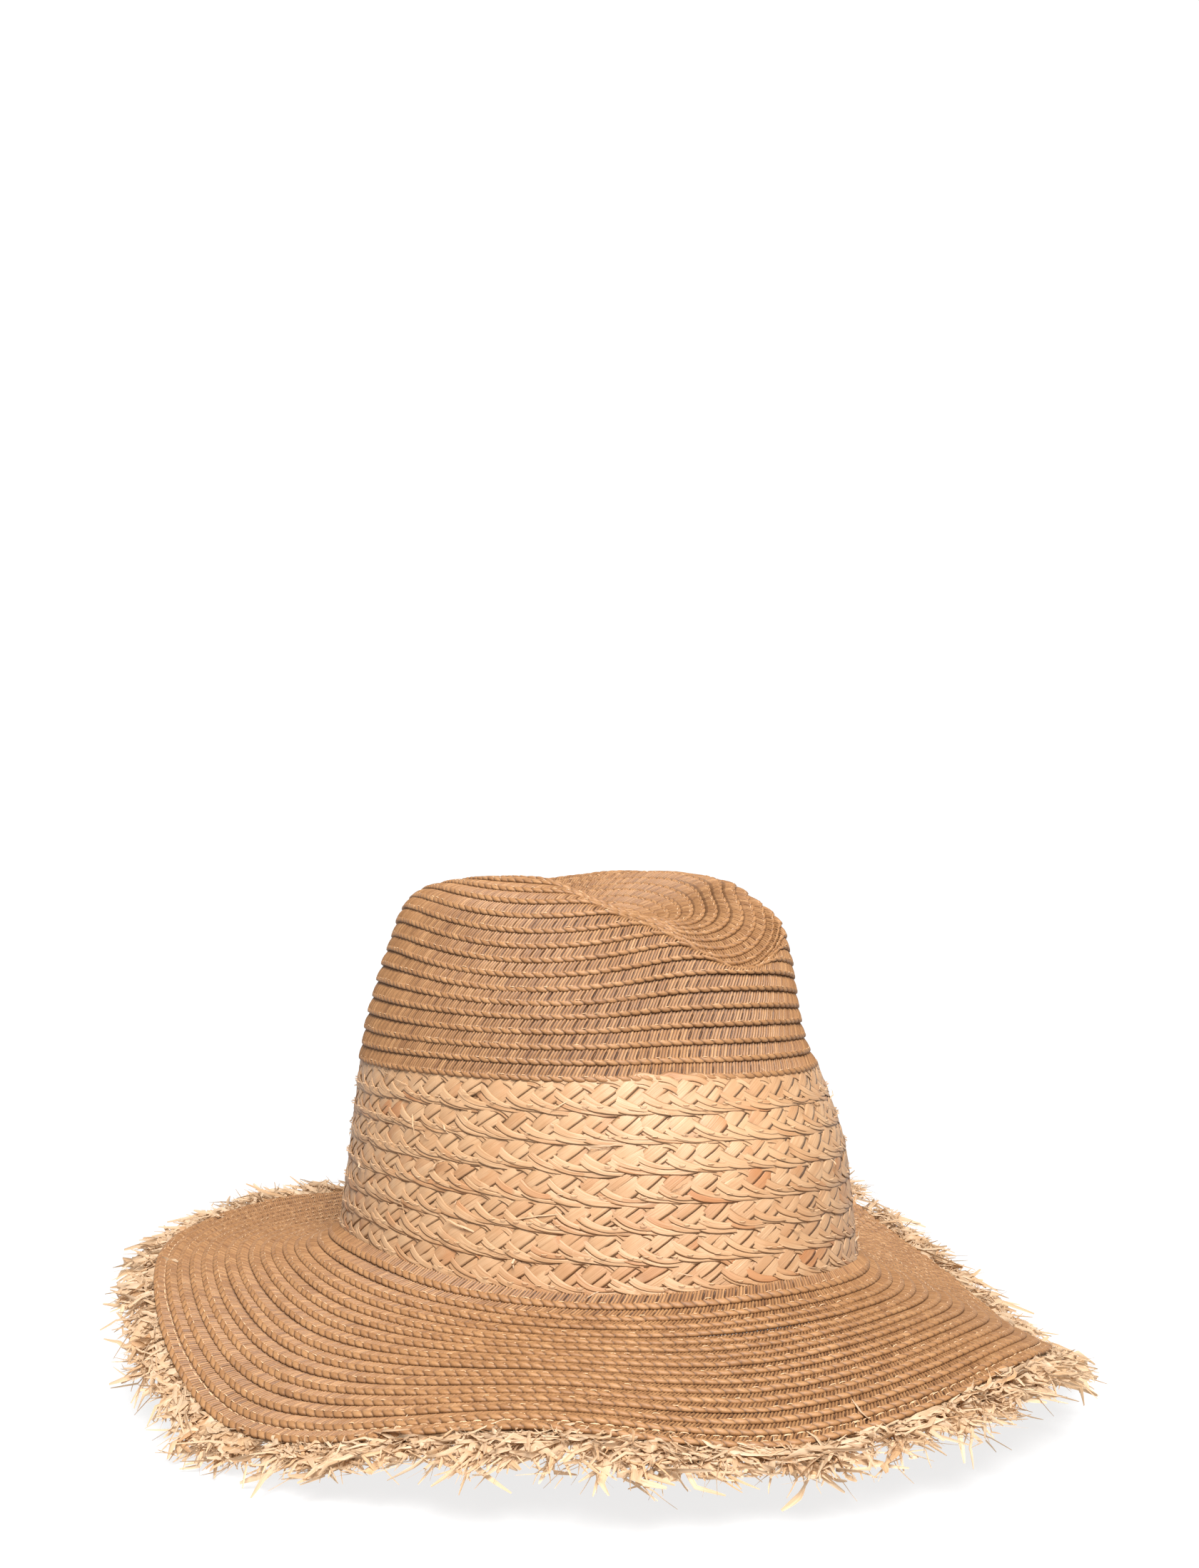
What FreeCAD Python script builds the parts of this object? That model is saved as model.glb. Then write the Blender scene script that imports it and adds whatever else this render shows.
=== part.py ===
"""Wide-brimmed straw sun hat with a pinched, creased crown and a raffia fringe.

Frame: millimetres, +Z up, the front of the hat faces -Y.  The hat lies as it does on a
table, brim down, and the origin is on that table, under the middle of the whole hat.
Angles go round the hat from the front: 0 is the front, 90 is +X, 180 the back, 270 is -X.

Every part is a strip of a smooth surface given a thickness.  Each surface is a function of
how far up it a point is and of its angle, and its strips run from low or outer to high
or inner, so that the surface normal always points to the outside of the hat.
"""
import os
import math

import FreeCAD
import Part

# ---- head opening and band -------------------------------------------------------------
OPENING_HALF_LENGTH = 100.0     # front to back, at the foot of the band, middle of the plait
OPENING_HALF_WIDTH = 84.0       # side to side
BAND_TOP_HALF_LENGTH = 93.5
BAND_TOP_HALF_WIDTH = 77.5
BAND_HEIGHT = 63.5
BAND_THICKNESS = 3.2
BAND_ROWS = 7

# ---- crown -------------------------------------------------------------------------------
BRAID_THICKNESS = 2.4
CROWN_ROW_PITCH = 5.4
WALL_SLOPE_LOW = 9.0            # degrees from upright, just above the band
WALL_SLOPE_HIGH = 18.0          # degrees from upright, below the shoulder
TIP_SLOPE = 66.0                # degrees from upright, past the shoulder
WALL_LENGTH = 42.0              # along the surface, over which the wall's slope grows
SHOULDER_START = 50.0           # along the surface from the band
SHOULDER_END = 78.0
TIP_FLAT_RADIUS = 16.0          # the middle of the tip turns level inside this radius
TIP_CAP_RADIUS = 1.5            # the first, folded turn of the plait, closed by a small cap
CREASE_HEIGHT = 71.0            # of the rim of the dent above the band, at the middle
CREASE_SIDE_TILT = 0.045        # the +X rim stands higher than the -X rim
CREASE_FRONT_FALL = 0.0052      # how fast the rim falls towards the front, per mm
CREASE_FALL_SPLIT = 0.0020      # the rim on +X falls later than the one on -X
CREASE_BACK_FALL = 0.002
CREASE_BACK_START = 8.0
CREASE_RADIUS = 3.0             # roundness of the fold along the rim
DENT_DEPTH_MIDDLE = 1.0         # the dent is the dome mirrored down, times this
DENT_DEPTH_FRONT = 0.4
PINCH_ANGLE = 38.0              # either side of the front
PINCH_WIDTH = 16.0
PINCH_DEPTH_MINUS_X = 6.0
PINCH_DEPTH_PLUS_X = 7.0
FRONT_TUCK = 10.0               # the front wall stands this far inside the plain oval
FRONT_TUCK_TOP = 5.5
FRONT_TUCK_WIDTH = 52.0         # degrees
ROW_WANDER = 4.5                # the crown's rows rise and dip this much, three times round

# ---- brim and fringe ---------------------------------------------------------------------
BRIM_WIDTH = 66.5
BRIM_NARROWING = 2.5            # at the front corner on +X
BRIM_COLLAR_DROP = 9.0          # the brim leaves the band steeply, and falls this far
BRIM_COLLAR_WIDTH = 0.10        # share of the brim's width over which it does so
BRIM_ROWS = 16
BRIM_JOIN_GAP = 1.5             # the brim's inner edge stops this short of the band's middle
BRIM_WAVE = [                   # (angle, how far the brim's edge lies below the band's foot)
    (0.0, 20.0), (38.0, 35.0), (66.0, 21.0), (97.0, -4.0), (130.0, 37.0), (165.0, 4.0),
    (205.0, 8.0), (226.0, 16.0), (258.0, 41.0), (298.0, 22.0), (326.0, 28.0)]
FRINGE_REACH = 15.0             # past the brim's edge
FRINGE_DROP = 6.5
FRINGE_THICKNESS_ROOT = 2.0
FRINGE_THICKNESS = 5.0
FRINGE_RISE = 1.5               # its top, above the middle of the brim's plait
HEADER_WIDTH = 6.0              # the woven tape that holds the fringe's strands
HEADER_THICKNESS = 0.8
STAND_HEIGHT = 49.5             # of the band's foot above the table

# ---- inside ------------------------------------------------------------------------------
SWEATBAND_HEIGHT = 30.0
SWEATBAND_THICKNESS = 1.0
SWEATBAND_GAP = 0.2
SWEATBAND_LIFT = 1.5            # its lower edge, above the foot of the band
LABEL_WIDTH = 26.0
LABEL_HEIGHT = 14.0
LABEL_THICKNESS = 0.5
THREAD_WIDTH = 0.7
THREAD_THICKNESS = 0.4
SEAM_INSET = 1.6                # from the lower edge of each row
CROWN_SEAMS = 21
FRINGE_SEAM_INSET = 3.6

COLUMNS = 96                    # points round the hat
DERIVATIVE_STEP = 0.01


# ---- small helpers -----------------------------------------------------------------------
def ease(t):
    """0 below 0, 1 above 1, and smooth between."""
    t = min(max(t, 0.0), 1.0)
    return t * t * (3.0 - 2.0 * t)


def signed(angle):
    """An angle in radians brought between -pi and pi."""
    return math.atan2(math.sin(angle), math.cos(angle))


def wave_at(points, angle):
    """Smooth closed curve through (degrees, value) points, read at an angle in radians."""
    degrees = math.degrees(angle) % 360.0
    count = len(points)
    index = max(i for i in range(count) if points[i][0] <= degrees)
    knots = []
    for step in (-1, 0, 1, 2):
        turns, place = divmod(index + step, count)
        knots.append((points[place][0] + 360.0 * turns, points[place][1]))
    (x0, y0), (x1, y1), (x2, y2), (x3, y3) = knots
    slope1 = (y2 - y0) / (x2 - x0)
    slope2 = (y3 - y1) / (x3 - x1)
    span = x2 - x1
    t = (degrees - x1) / span
    return ((2 * t ** 3 - 3 * t ** 2 + 1) * y1 + (t ** 3 - 2 * t ** 2 + t) * span * slope1
            + (3 * t ** 2 - 2 * t ** 3) * y2 + (t ** 3 - t ** 2) * span * slope2)


# ---- the surfaces --------------------------------------------------------------------------
def foot_height(angle):
    """The foot of the band isn't quite level: it follows the wavy brim."""
    return (-1.9 * math.cos(2 * angle) + 0.95 * math.sin(2 * angle)
            + 1.8 * math.cos(3 * angle) - 1.6 * math.sin(3 * angle))


def front_tuck(height, angle):
    """How far the front wall stands inside the oval, at a height above the band's top."""
    across = math.exp(-(signed(angle) / math.radians(FRONT_TUCK_WIDTH)) ** 4)
    rise = FRONT_TUCK * ease((height + 32.0) / 44.0)
    settle = (FRONT_TUCK_TOP - FRONT_TUCK) * ease((height - 12.0) / 40.0)
    return (rise + settle) * across


def dome_meridian():
    """Radius and height along the undented crown, as a list every quarter millimetre."""
    step = 0.25
    radius, height, along = BAND_TOP_HALF_WIDTH, 0.0, 0.0
    line = [(radius, height)]
    while radius > 0.0:
        slope = WALL_SLOPE_LOW + (WALL_SLOPE_HIGH - WALL_SLOPE_LOW) * ease(along / WALL_LENGTH)
        shoulder = (along - SHOULDER_START) / (SHOULDER_END - SHOULDER_START)
        slope += (TIP_SLOPE - WALL_SLOPE_HIGH) * ease(shoulder)
        slope += (90.0 - slope) * ease(1.0 - radius / TIP_FLAT_RADIUS)
        radius -= math.sin(math.radians(slope)) * step
        height += math.cos(math.radians(slope)) * step
        along += step
        line.append((radius, height))
    return line, step


MERIDIAN, MERIDIAN_STEP = dome_meridian()
CROWN_LENGTH = (len(MERIDIAN) - 1) * MERIDIAN_STEP


def meridian_at(along):
    place = min(max(along / MERIDIAN_STEP, 0.0), len(MERIDIAN) - 1.001)
    low = int(place)
    share = place - low
    (r0, z0), (r1, z1) = MERIDIAN[low], MERIDIAN[low + 1]
    return max(r0 + (r1 - r0) * share, 0.0), z0 + (z1 - z0) * share


def row_place(row, angle):
    """Distance up the crown of a row of the plait, which wanders as it goes round."""
    wander = -ROW_WANDER * math.cos(3.0 * (angle + math.radians(75.0)))
    fade = ease(row / 9.0) * (1.0 - ease((row - 13.0) / 8.0))
    return row * CROWN_ROW_PITCH + wander * fade


def crown_point(along, angle):
    """Crown above the band: an oval dome, tucked and pinched in front, and dented."""
    radius, height = meridian_at(along)
    spine = BAND_TOP_HALF_LENGTH - BAND_TOP_HALF_WIDTH
    x = radius * math.sin(angle)
    y = -(spine + radius) * math.cos(angle)

    pinch = 0.0
    for side, depth in ((-1.0, PINCH_DEPTH_MINUS_X), (1.0, PINCH_DEPTH_PLUS_X)):
        away = signed(angle) - side * math.radians(PINCH_ANGLE)
        pinch += depth * math.exp(-(away / math.radians(PINCH_WIDTH)) ** 2)
    pinch *= ease((height + 6.0) / 24.0) * ease((radius - 25.0) / 30.0)
    x -= pinch * math.sin(angle)
    y += pinch * math.cos(angle) + front_tuck(height, angle) * ease(radius / 60.0)

    front_fall = CREASE_FRONT_FALL - CREASE_FALL_SPLIT * math.tanh(x / 40.0)
    rim = CREASE_HEIGHT + CREASE_SIDE_TILT * x
    rim -= front_fall * max(0.0, -y) ** 2
    rim -= CREASE_BACK_FALL * max(0.0, y - CREASE_BACK_START) ** 2
    depth = DENT_DEPTH_MIDDLE + (DENT_DEPTH_FRONT - DENT_DEPTH_MIDDLE) * ease((-y - 5.0) / 75.0)
    over = height - rim
    folded = (over * (1.0 - depth) - (1.0 + depth) * math.hypot(over, CREASE_RADIUS)) / 2.0
    return FreeCAD.Vector(x, y, STAND_HEIGHT + BAND_HEIGHT + rim + folded)


def band_point(share, angle):
    """Wall of the band, from its foot (0) to its top (1)."""
    half_length = OPENING_HALF_LENGTH + (BAND_TOP_HALF_LENGTH - OPENING_HALF_LENGTH) * share
    half_width = OPENING_HALF_WIDTH + (BAND_TOP_HALF_WIDTH - OPENING_HALF_WIDTH) * share
    height = BAND_HEIGHT * share
    x = half_width * math.sin(angle)
    y = -half_length * math.cos(angle) + front_tuck(height - BAND_HEIGHT, angle)
    foot = foot_height(angle) * max(1.0 - share, 0.0) ** 1.5
    return FreeCAD.Vector(x, y, STAND_HEIGHT + height + foot)


def outward(angle):
    """Level direction square to the oval of the band's foot."""
    x = math.sin(angle) / OPENING_HALF_WIDTH
    y = -math.cos(angle) / OPENING_HALF_LENGTH
    length = math.hypot(x, y)
    return x / length, y / length


def brim_width(angle):
    away = signed(angle - math.radians(40.0)) / math.radians(25.0)
    return BRIM_WIDTH - BRIM_NARROWING * math.exp(-away ** 2)


def brim_point(share, angle):
    """Brim from its edge (0) in to the foot of the band (1)."""
    out = 1.0 - share
    spread = max(out, 0.0)
    reach = brim_width(angle) * out
    nx, ny = outward(angle)
    edge_fall = wave_at(BRIM_WAVE, angle) - BRIM_COLLAR_DROP
    fall = BRIM_COLLAR_DROP * (1.0 - math.exp(-out / BRIM_COLLAR_WIDTH))
    fall += edge_fall * spread ** 1.6
    return FreeCAD.Vector(
        OPENING_HALF_WIDTH * math.sin(angle) + reach * nx,
        -OPENING_HALF_LENGTH * math.cos(angle) + reach * ny,
        STAND_HEIGHT + foot_height(angle) - fall)


def fringe_point(share, angle):
    """Fringe from its tips (0) in to its header under the brim's edge (1)."""
    root = brim_point(HEADER_WIDTH / BRIM_WIDTH, angle)
    edge = brim_point(0.0, angle)
    nx, ny = outward(angle)
    out = 1.0 - share
    reach = (HEADER_WIDTH + FRINGE_REACH) * out
    slope = (root.z - edge.z) / HEADER_WIDTH
    extra = FRINGE_DROP - slope * FRINGE_REACH
    return FreeCAD.Vector(root.x + reach * nx, root.y + reach * ny,
                          root.z - slope * reach - extra * max(out, 0.0) ** 1.5)


# ---- solids --------------------------------------------------------------------------------
def normal_at(point, along, angle):
    """Unit normal, pointing to the outside of the hat."""
    h = DERIVATIVE_STEP
    round_hat = point(along, angle + h) - point(along, angle - h)
    up_hat = point(along + h, angle) - point(along - h, angle)
    return round_hat.cross(up_hat).normalize()


def offset_at(offset, place):
    return offset(place) if callable(offset) else offset


def surface(point, places, angles, offset):
    """Smooth surface through the points at these places, moved along the normal."""
    grid = []
    for angle in angles:
        line = []
        for place in places:
            moved = normal_at(point, place, angle) * offset_at(offset, place)
            line.append(point(place, angle) + moved)
        grid.append(line)
    skin = Part.BSplineSurface()
    skin.interpolate(grid)
    return skin


def halves(point, places, offset):
    """A surface right round the hat, as two faces that meet in front and behind."""
    turn = [math.pi + 2.0 * math.pi * (column % COLUMNS) / COLUMNS
            for column in range(COLUMNS + 1)]
    skin = surface(point, places, turn, offset)
    u0, u1, v0, v1 = skin.bounds()
    middle = (u0 + u1) / 2.0
    parts = []
    for start, end in ((u0, middle), (middle, u1)):
        half = skin.copy()
        half.segment(start, end, v0, v1)
        parts.append(half)
    return parts


def edge_of(skin, side):
    """One edge of a surface: low, high, first or last."""
    u0, u1, v0, v1 = skin.bounds()
    if side == "low":
        return skin.vIso(v0).toShape()
    if side == "high":
        return skin.vIso(v1).toShape()
    return skin.uIso(u0 if side == "first" else u1).toShape()


def wall(skin_a, skin_b, side):
    return Part.makeRuledSurface(edge_of(skin_a, side), edge_of(skin_b, side))


def solid_of(faces):
    shell = Part.Shell(faces)
    shell.sewShape()
    solid = Part.Solid(Part.Shell(shell.Faces))
    if solid.Volume < 0:
        solid.reverse()
    return solid


def ring(point, places, low, high):
    """Closed strip that goes round the hat, between two offsets of a surface."""
    faces = []
    for outer, inner in zip(halves(point, places, high), halves(point, places, low)):
        faces += [outer.toShape(), inner.toShape()]
        faces += [wall(outer, inner, "low"), wall(outer, inner, "high")]
    return solid_of(faces)


def patch(point, places, angles, low, high):
    """Closed pad on part of a surface."""
    outer = surface(point, places, angles, high)
    inner = surface(point, places, angles, low)
    faces = [outer.toShape(), inner.toShape()]
    faces += [wall(outer, inner, side) for side in ("low", "high", "first", "last")]
    return solid_of(faces)


def steps(start, end, count):
    return [start + (end - start) * i / count for i in range(count + 1)]


def thread_line(point, lift):
    """One line of lockstitch that lies on a surface and goes round the hat."""
    places = [-THREAD_WIDTH / 2.0, THREAD_WIDTH / 2.0]
    return ring(point, places, lift, lift + THREAD_THICKNESS)


# ---- the pieces ------------------------------------------------------------------------------
def crown_braid():
    """Tip and upper crown: one plait sewn in a spiral, with a small cap at its start."""
    last = next(i for i, (radius, _) in enumerate(MERIDIAN) if radius < TIP_CAP_RADIUS)
    places = steps(0.0, last * MERIDIAN_STEP, 64)
    outer = halves(crown_point, places, BRAID_THICKNESS / 2.0)
    inner = halves(crown_point, places, -BRAID_THICKNESS / 2.0)
    faces = []
    for out_half, in_half in zip(outer, inner):
        faces += [out_half.toShape(), in_half.toShape(), wall(out_half, in_half, "low")]
    for first, second in (outer, inner):
        across = edge_of(second, "high")
        across.reverse()
        faces.append(Part.makeRuledSurface(edge_of(first, "high"), across))
    return solid_of(faces)


def crown_thread():
    """The seam of each turn of the crown's plait."""
    lines = []
    for row in range(1, CROWN_SEAMS + 1):
        def seam(along, angle, row=row):
            return crown_point(row_place(row, angle) + SEAM_INSET + along, angle)
        lines.append(thread_line(seam, BRAID_THICKNESS / 2.0))
    return lines


def raffia_band():
    """Seven turns of wide raffia plait."""
    half = BAND_THICKNESS / 2.0
    return ring(band_point, steps(0.0, 1.0, 14), -half, half)


def band_thread():
    lines = []
    for row in range(BAND_ROWS):
        def seam(along, angle, row=row):
            share = (row * BAND_HEIGHT / BAND_ROWS + SEAM_INSET + along) / BAND_HEIGHT
            return band_point(share, angle)
        lines.append(thread_line(seam, BAND_THICKNESS / 2.0))
    return lines


def brim_braid():
    """Collar and brim, one plait sewn in a spiral out to the edge."""
    places = steps(0.0, 1.0 - BRIM_JOIN_GAP / BRIM_WIDTH, 32)
    half = BRAID_THICKNESS / 2.0
    return ring(brim_point, places, -half, half)


def brim_thread():
    lines = []
    for row in range(BRIM_ROWS):
        def seam(along, angle, row=row):
            share = row / BRIM_ROWS + (SEAM_INSET + along) / BRIM_WIDTH
            return brim_point(share, angle)
        lines.append(thread_line(seam, BRAID_THICKNESS / 2.0))
    return lines


def fringe_thread():
    """The seam that sews the fringe's header under the last row of the brim."""
    def seam(along, angle):
        return brim_point((FRINGE_SEAM_INSET + along) / BRIM_WIDTH, angle)

    return thread_line(seam, BRAID_THICKNESS / 2.0)


def fringe_header():
    """Woven tape under the last row of the brim, which holds the fringe's strands."""
    top = -BRAID_THICKNESS / 2.0
    places = steps(0.0, HEADER_WIDTH / BRIM_WIDTH, 4)
    return ring(brim_point, places, top - HEADER_THICKNESS, top)


def raffia_fringe():
    """The space that the loose strands fill, thin at the header and fuller past the edge."""
    root_top = -BRAID_THICKNESS / 2.0 - HEADER_THICKNESS

    def top(share):
        return FRINGE_RISE + (root_top - FRINGE_RISE) * ease((share - 0.55) / 0.3)

    def bottom(share):
        full = FRINGE_RISE - FRINGE_THICKNESS
        return full + (root_top - FRINGE_THICKNESS_ROOT - full) * ease((share - 0.55) / 0.3)

    return ring(fringe_point, steps(0.0, 1.0, 16), bottom, top)


def sweatband():
    """Grosgrain ribbon that lines the head opening."""
    outside = -BAND_THICKNESS / 2.0 - SWEATBAND_GAP
    places = steps(SWEATBAND_LIFT / BAND_HEIGHT,
                   (SWEATBAND_LIFT + SWEATBAND_HEIGHT) / BAND_HEIGHT, 6)
    return ring(band_point, places, outside - SWEATBAND_THICKNESS, outside)


def sweatband_thread():
    """The seam that holds the ribbon's lower edge to the hat."""
    inside = -BAND_THICKNESS / 2.0 - SWEATBAND_GAP - SWEATBAND_THICKNESS

    def seam(along, angle):
        return band_point((SWEATBAND_LIFT + SEAM_INSET + along) / BAND_HEIGHT, angle)

    return thread_line(seam, inside - THREAD_THICKNESS)


def blank_label():
    """Plain woven label on the ribbon, at the back."""
    inside = -BAND_THICKNESS / 2.0 - SWEATBAND_GAP - SWEATBAND_THICKNESS
    turn = LABEL_WIDTH / 2.0 / OPENING_HALF_WIDTH
    middle = SWEATBAND_LIFT + SWEATBAND_HEIGHT / 2.0
    places = steps((middle - LABEL_HEIGHT / 2.0) / BAND_HEIGHT,
                   (middle + LABEL_HEIGHT / 2.0) / BAND_HEIGHT, 3)
    angles = steps(math.pi - turn, math.pi + turn, 6)
    return patch(band_point, places, angles, inside - LABEL_THICKNESS, inside)


def save(name, solids):
    solids = solids if isinstance(solids, list) else [solids]
    for solid in solids:
        if not solid.isValid():
            raise RuntimeError(name + " has an invalid solid")
    shape = solids[0] if len(solids) == 1 else Part.makeCompound(solids)
    shape.exportStep("parts/" + name + ".step")
    box = shape.BoundBox
    print("%-18s %2d solids %8.0f mm3  x %7.1f %6.1f  y %7.1f %6.1f  z %6.1f %6.1f" % (
        name, len(shape.Solids), shape.Volume,
        box.XMin, box.XMax, box.YMin, box.YMax, box.ZMin, box.ZMax))


PIECES = [
    crown_braid, raffia_band, brim_braid, raffia_fringe, fringe_header, sweatband, blank_label,
    crown_thread, band_thread, brim_thread, fringe_thread, sweatband_thread]


def main():
    os.makedirs("parts", exist_ok=True)
    for piece in PIECES:
        save(piece.__name__, piece())


main()
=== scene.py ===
"""Straw sun hat on a pale floor: every plait, strand and stitch as its own geometry.

The surfaces are the ones that the CAD part is made from, in millimetres, with +Z up and the
front of the hat at -Y.  Angles go round the hat from the front: 0 is the front, 90 is +X.
A place on a plait is (along, across): along runs with the angle, across from its lower or
outer edge to its upper or inner one.
"""
import math

import bpy
import numpy as np
from mathutils import Matrix


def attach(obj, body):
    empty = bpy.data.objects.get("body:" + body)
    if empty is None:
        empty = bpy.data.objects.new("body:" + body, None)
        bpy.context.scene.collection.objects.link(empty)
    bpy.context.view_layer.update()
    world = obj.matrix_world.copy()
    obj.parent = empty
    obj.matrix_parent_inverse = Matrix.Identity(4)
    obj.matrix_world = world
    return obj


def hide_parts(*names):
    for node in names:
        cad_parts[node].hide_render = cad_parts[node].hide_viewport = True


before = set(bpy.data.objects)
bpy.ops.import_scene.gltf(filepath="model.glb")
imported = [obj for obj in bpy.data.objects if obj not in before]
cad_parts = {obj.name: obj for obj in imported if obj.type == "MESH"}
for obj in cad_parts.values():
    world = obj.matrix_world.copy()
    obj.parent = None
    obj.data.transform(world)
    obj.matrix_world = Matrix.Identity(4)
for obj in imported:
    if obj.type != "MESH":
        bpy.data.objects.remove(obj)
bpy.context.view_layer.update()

MM = 0.001
rng = np.random.default_rng(11)

# ---- shape of the hat, as in the CAD part ----------------------------------------------
OPENING_HALF_LENGTH = 100.0
OPENING_HALF_WIDTH = 84.0
BAND_TOP_HALF_LENGTH = 93.5
BAND_TOP_HALF_WIDTH = 77.5
BAND_HEIGHT = 63.5
BAND_ROWS = 7
CROWN_ROW_PITCH = 5.4
CROWN_ROWS = 24
WALL_SLOPE_LOW = 9.0
WALL_SLOPE_HIGH = 18.0
TIP_SLOPE = 66.0
WALL_LENGTH = 42.0
SHOULDER_START = 50.0
SHOULDER_END = 78.0
TIP_FLAT_RADIUS = 16.0
CREASE_HEIGHT = 71.0
CREASE_SIDE_TILT = 0.045
CREASE_FRONT_FALL = 0.0052
CREASE_FALL_SPLIT = 0.0020
CREASE_BACK_FALL = 0.002
CREASE_BACK_START = 8.0
CREASE_RADIUS = 2.0
DENT_DEPTH_MIDDLE = 1.0
DENT_DEPTH_FRONT = 0.4
PINCH_ANGLE = 38.0
PINCH_WIDTH = 16.0
PINCH_DEPTHS = ((-1.0, 6.0), (1.0, 7.0))
FRONT_TUCK = 10.0
FRONT_TUCK_TOP = 5.5
FRONT_TUCK_WIDTH = 52.0
ROW_WANDER = 4.5
BRIM_WIDTH = 66.5
BRIM_NARROWING = 2.5
BRIM_COLLAR_DROP = 9.0
BRIM_COLLAR_WIDTH = 0.10
BRIM_ROWS = 16
BRIM_WAVE = np.array([
    (0.0, 20.0), (38.0, 35.0), (66.0, 21.0), (97.0, -4.0), (130.0, 37.0), (165.0, 4.0),
    (205.0, 8.0), (226.0, 16.0), (258.0, 41.0), (298.0, 22.0), (326.0, 28.0)])
FRINGE_REACH = 15.0
FRINGE_DROP = 6.5
HEADER_WIDTH = 6.0
HEADER_THICKNESS = 0.8
STAND_HEIGHT = 49.5
BRAID_THICKNESS = 2.4
SWEATBAND_HEIGHT = 30.0
SWEATBAND_LIFT = 1.5
SWEATBAND_OFFSET = -2.3         # middle of the ribbon, from the middle of the band's plait
SWEATBAND_THICKNESS = 0.8
SWEATBAND_RIBS = 560            # round the whole ribbon
LABEL_WIDTH = 26.0
LABEL_HEIGHT = 14.0
LABEL_THICKNESS = 0.4
LABEL_DEPTH = 0.55              # of its back, in from the middle of the ribbon
SWEATBAND_RIB_HEIGHT = 0.07
TAPE_RIBS = 360                 # round the whole tape
TAPE_RIB_HEIGHT = 0.08
POINTS_TO_RIB = 4               # mesh points round the hat to one rib of tape or ribbon

# ---- the paper plait -------------------------------------------------------------------
PERIOD = 3.7                    # length of one stitch of the plait
COLUMNS = 12                    # mesh columns in one stitch, so that ribs fall on columns
RIBS = 3                        # upper ribs to each lower lobe
RIB_RELIEF = 0.8                # height of a rib over the groove beside it
LOBE_WIDTH = 1.40               # the lower part of the plait, a chain of leaning lobes
LOBE_RELIEF = 0.42
LOBE_BULGE = 0.36               # height of a lobe over the ribs
LOBE_LEAN = 1.2                 # sideways per mm across
LOWER_EDGE_TUCK = 0.22          # of the plait's lower edge, under the lobes
ROW_ARCH = 0.40                 # height of the middle of a row over its edges
HOLE_DEPTH = 0.9                # of the small hole between two stitches
UPPER_EDGE_SHADE = 0.46         # where the next row up casts its shadow
SIDE_SCALLOP = 0.3              # how far the lobes swing out at the lower edge
RIB_TINT = (0.52, 0.23)         # middle and spread
LOBE_TINT = (0.50, 0.13)
JOG = 0.055                     # share of a turn, at the back, in which a row steps up

# ---- the raffia plait ------------------------------------------------------------------
STRANDS = 5
STRAND_SPACING = 9.2            # along the plait, from one strand to the next
STRAND_STEP = 1.0               # between the rings of a leaf's mesh
STRAND_LIFT = 0.21              # of a strand that passes over another
LEAVES = (-1, 1)                # side by side in a strand
LEAF_TOP = 6                    # mesh points across the top of a leaf
LEAF_THICKNESS = 0.28
LEAF_TINT = (0.62, 0.24)        # middle and spread
LEAF_LENGTH = 48.0              # after which a leaf gives way to the next, of another tint
UNDER_LEAF_TOP = -0.38          # height of the leaf that backs the plait
BAND_LEAN = 0.45                # of each row, out at its lower edge
BAND_PITCH = BAND_HEIGHT / BAND_ROWS


# ---- small helpers ---------------------------------------------------------------------
def ease(t):
    """0 below 0, 1 above 1, and smooth between."""
    t = np.clip(t, 0.0, 1.0)
    return t * t * (3.0 - 2.0 * t)


def signed(angle):
    """The same angle, between minus and plus half a turn."""
    return np.arctan2(np.sin(angle), np.cos(angle))


def unit(vectors):
    length = np.linalg.norm(vectors, axis=-1, keepdims=True)
    return vectors / np.maximum(length, 1e-9)


def drift(places, spacing, amount=1.0):
    """Smooth random values at increasing places, which change over this spacing."""
    knots = np.arange(places.min() - spacing, places.max() + 2 * spacing, spacing)
    values = rng.normal(0.0, amount, len(knots))
    where = (places - knots[0]) / spacing
    low = where.astype(int)
    share = ease(where - low)
    return values[low] * (1.0 - share) + values[low + 1] * share


def curve(root, middle, tip, share):
    """Bent lines from root to tip, drawn towards their middles, at shares of their length."""
    return ((1.0 - share) ** 2 * root[:, None] + 2.0 * share * (1.0 - share) * middle[:, None]
            + share ** 2 * tip[:, None])


def wave_at(points, angle):
    """Smooth closed curve through (degrees, value) points."""
    degrees = np.degrees(angle) % 360.0
    count = len(points)
    index = np.searchsorted(points[:, 0], degrees, side="right") - 1

    def knot(step):
        turns, place = np.divmod(index + step, count)
        return points[place, 0] + 360.0 * turns, points[place, 1]

    (x0, y0), (x1, y1), (x2, y2), (x3, y3) = (knot(step) for step in (-1, 0, 1, 2))
    span = x2 - x1
    slope1 = (y2 - y0) / (x2 - x0) * span
    slope2 = (y3 - y1) / (x3 - x1) * span
    t = (degrees - x1) / span
    return ((2 * t ** 3 - 3 * t ** 2 + 1) * y1 + (t ** 3 - 2 * t ** 2 + t) * slope1
            + (3 * t ** 2 - 2 * t ** 3) * y2 + (t ** 3 - t ** 2) * slope2)


# ---- the surfaces ----------------------------------------------------------------------
def foot_height(angle):
    """How far the band's foot rises and falls as it goes round."""
    return (-1.9 * np.cos(2 * angle) + 0.95 * np.sin(2 * angle)
            + 1.8 * np.cos(3 * angle) - 1.6 * np.sin(3 * angle))


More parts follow.
